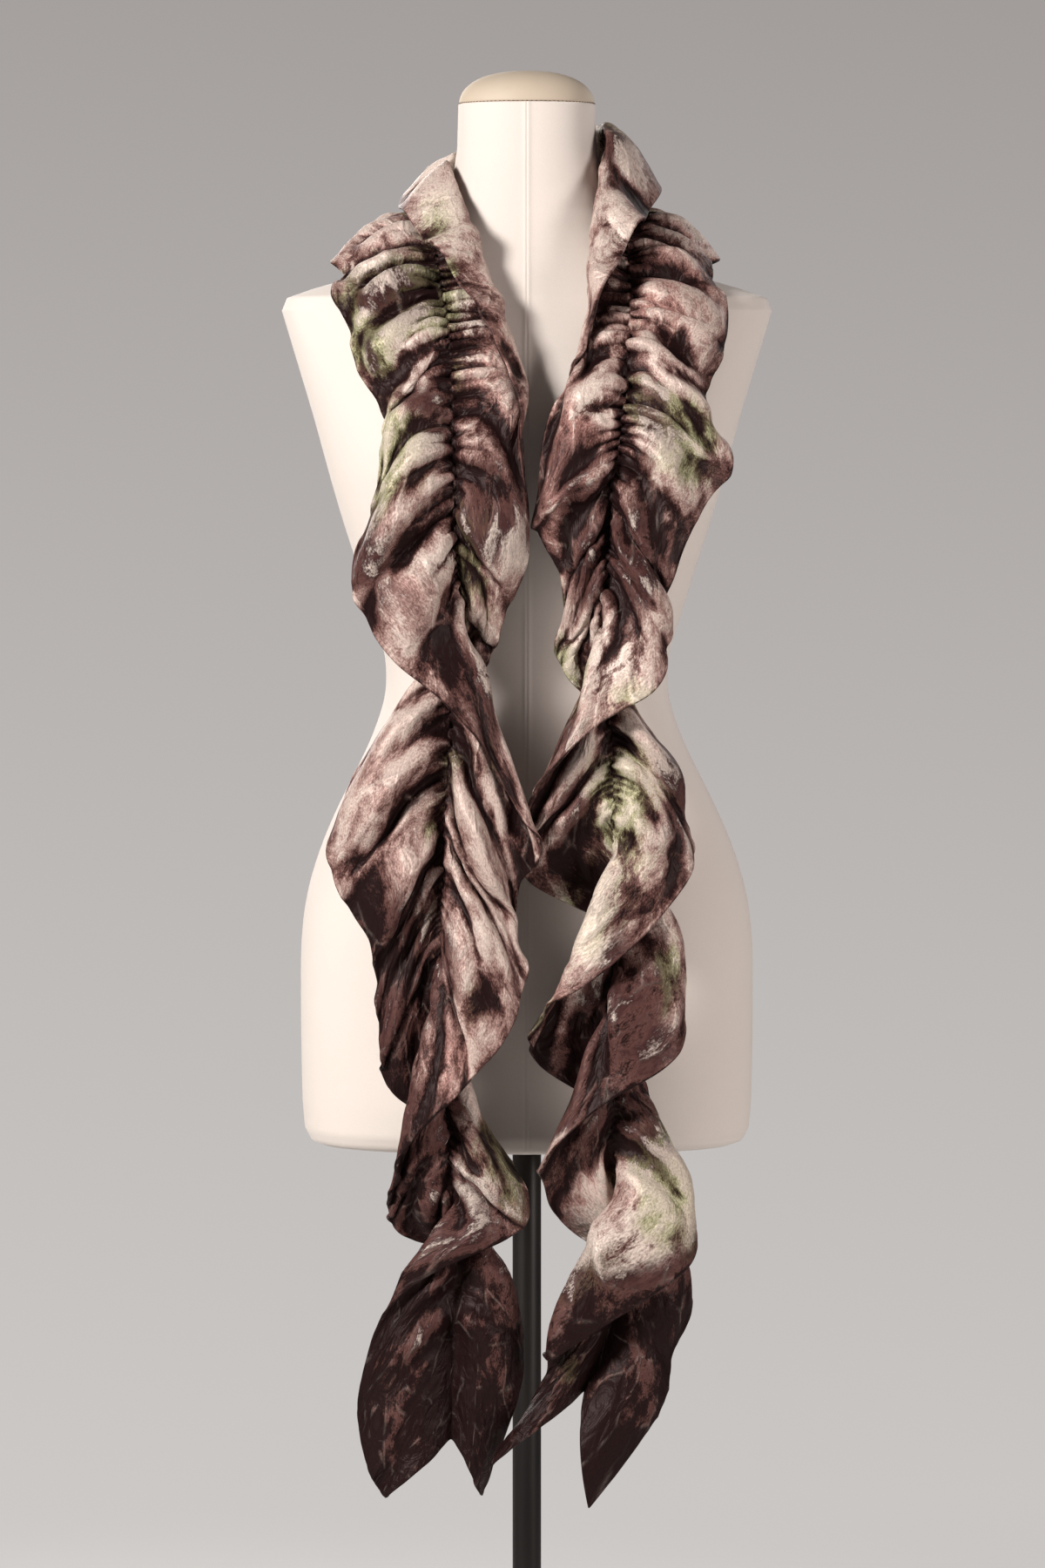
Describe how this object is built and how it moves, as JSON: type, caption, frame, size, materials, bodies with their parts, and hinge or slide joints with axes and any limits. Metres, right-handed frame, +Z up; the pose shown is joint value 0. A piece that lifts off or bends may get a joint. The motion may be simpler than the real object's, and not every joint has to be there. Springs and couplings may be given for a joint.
{
  "type": "ruched velvet scarf on a limbless dress form with a stand",
  "caption": "Long crushed-velvet scarf in mottled plum, mauve and olive, gathered along its middle and hung round the neck of an ivory limbless dress form on a dark pole.",
  "frame": {"origin": "The middle of the base plate's underside, on the floor, below the pole.", "axes": "+Z up along the pole, +X to the viewer's right, -Y to the front, where the scarf's tails hang."},
  "size_m": [0.388, 0.388, 1.5591],
  "materials": {
    "velvet": "crushed velvet, mottled plum, mauve and olive",
    "velvet_dark": "crushed velvet, dark plum brown",
    "form_cloth": "fine ivory cloth drawn tight",
    "cap_cloth": "cream cloth drawn tight",
    "stand_metal": "dark grey-brown satin paint"
  },
  "bodies": {
    "root": {"left_end": "velvet_dark", "left_lower": "velvet", "left_upper": "velvet", "neck_wrap": "velvet", "right_upper": "velvet", "right_lower": "velvet", "right_end": "velvet_dark", "form_body": "form_cloth", "neck_cap": "cap_cloth", "pole": "stand_metal", "base_plate": "stand_metal"}
  },
  "joints": []
}
